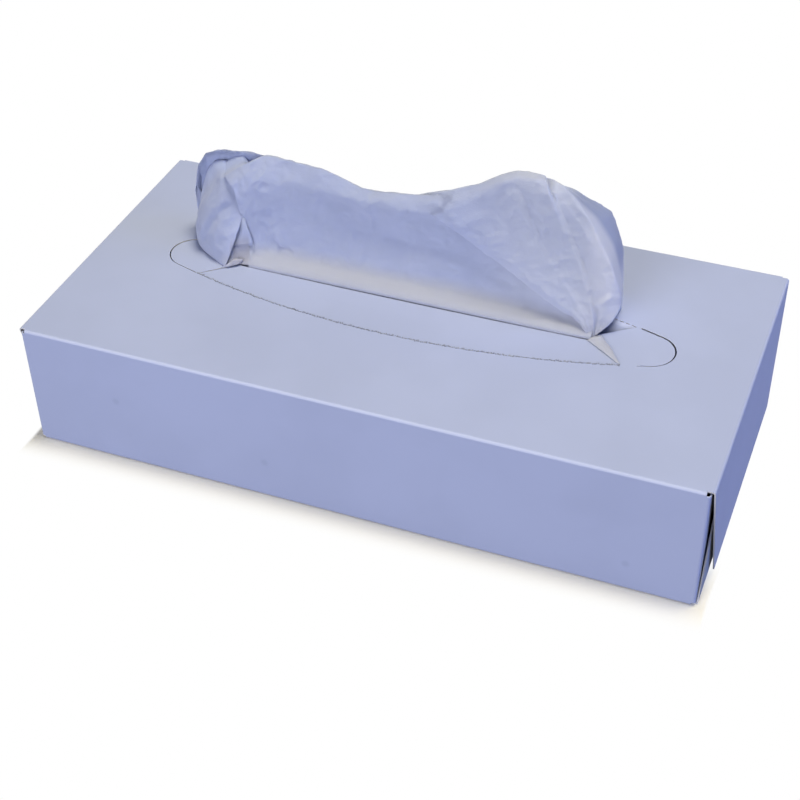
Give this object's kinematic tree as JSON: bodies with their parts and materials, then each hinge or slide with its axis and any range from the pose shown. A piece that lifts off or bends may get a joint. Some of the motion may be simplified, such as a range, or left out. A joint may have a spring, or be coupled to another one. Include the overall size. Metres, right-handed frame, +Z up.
{
  "type": "tissue box",
  "caption": "Flat folded carton of facial tissues with an oval slotted opening in the top panel and one tissue drawn up through the slot.",
  "frame": {"origin": "middle of the underside of the carton", "axes": "+X along the length of the carton, +Y from the front panel to the rear panel, +Z up"},
  "size_m": [0.2322, 0.115, 0.0967],
  "materials": {
    "board": "pale lavender blue coated board, satin",
    "tissue": "soft matt tissue, slightly see-through",
    "pack": "soft matt tissue, pressed into a pack"
  },
  "bodies": {
    "root": {"carton": "board", "raised_tissue": "tissue", "tissue_stack": "pack"}
  },
  "joints": []
}
